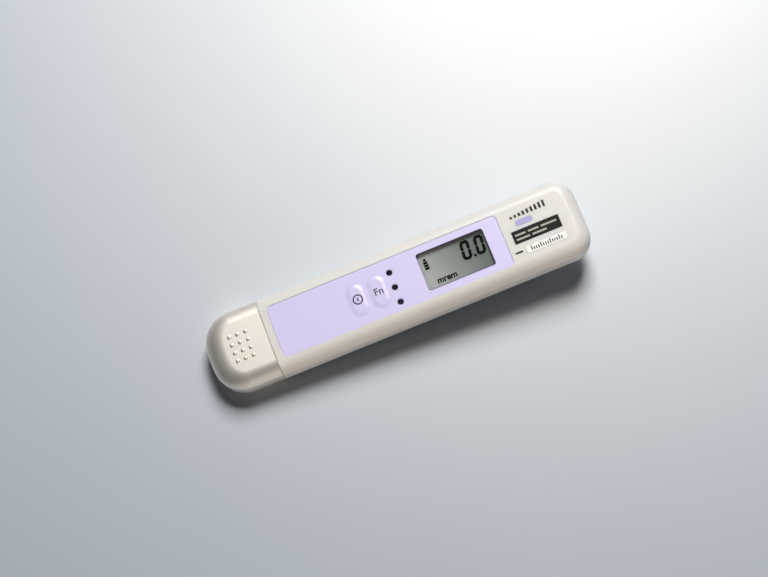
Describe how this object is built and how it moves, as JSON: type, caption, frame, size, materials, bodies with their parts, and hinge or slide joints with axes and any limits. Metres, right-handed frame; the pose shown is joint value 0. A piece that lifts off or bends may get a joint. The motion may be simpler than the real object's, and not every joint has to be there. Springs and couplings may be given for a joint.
{
  "type": "personal radiation dosimeter",
  "caption": "Slim pocket dosimeter: moulded case, pull-off end cap with grip nubs, recessed display, sound holes, oval keys and a rear spring clip.",
  "frame": {"origin": "middle of the length and width, at the outer face of the pocket clip", "axes": "+X along the case from the battery cap to the far end, +Y across it, +Z out of the display face"},
  "size_m": [0.145, 0.03, 0.0178],
  "materials": {
    "case_ivory": "moulded ivory ABS, fine satin",
    "cap_silver": "moulded cap painted warm metallic silver",
    "panel_lavender": "lavender printed film, satin",
    "window_clear": "clear acrylic",
    "lcd_glass": "grey-green reflective display",
    "black_plastic": "black moulded",
    "white_plastic": "white moulded",
    "rubber_dark": "dark elastomer",
    "steel": "stainless steel",
    "tinned": "tinned sheet",
    "board": "green solder mask",
    "capacitor": "moulded yellow"
  },
  "bodies": {
    "case": {"front_case": "case_ivory", "rear_case": "case_ivory", "front_panel": "panel_lavender", "display_window": "window_clear", "sound_mesh": "black_plastic", "buzzer": "black_plastic", "lcd_glass": "lcd_glass", "lcd_frame": "white_plastic", "lcd_connector_upper": "rubber_dark", "lcd_connector_lower": "rubber_dark", "circuit_board": "board", "power_switch": "black_plastic", "function_switch": "black_plastic", "microcontroller": "black_plastic", "memory_chip": "black_plastic", "crystal": "tinned", "capacitor_1": "capacitor", "capacitor_2": "capacitor", "radiation_detector": "black_plastic", "detector_shield": "tinned", "battery_tray": "black_plastic", "battery_cell": "steel", "positive_contact": "tinned", "negative_contact": "tinned", "case_screw_1": "steel", "case_screw_2": "steel", "case_screw_3": "steel", "case_screw_4": "steel", "pocket_clip": "steel", "clip_screw_1": "steel", "clip_screw_2": "steel"},
    "battery_cap": {"battery_cap": "cap_silver", "cap_seal": "rubber_dark"},
    "power_key": {"power_key": "panel_lavender", "power_switch_stem": "white_plastic"},
    "function_key": {"function_key": "panel_lavender", "function_switch_stem": "white_plastic"}
  },
  "joints": [
    {"name": "power_key_press", "type": "slide", "parent": "case", "child": "power_key", "axis": [0, 0, -1], "range_m": [0, 0.0004], "stiffness_N_per_m": 1500, "springref_m": -0.0004},
    {"name": "function_key_press", "type": "slide", "parent": "case", "child": "function_key", "axis": [0, 0, -1], "range_m": [0, 0.0004], "stiffness_N_per_m": 1500, "springref_m": -0.0004},
    {"name": "cap_pull", "type": "slide", "parent": "case", "child": "battery_cap", "axis": [-1, 0, 0], "range_m": [0, 0.026]}
  ]
}
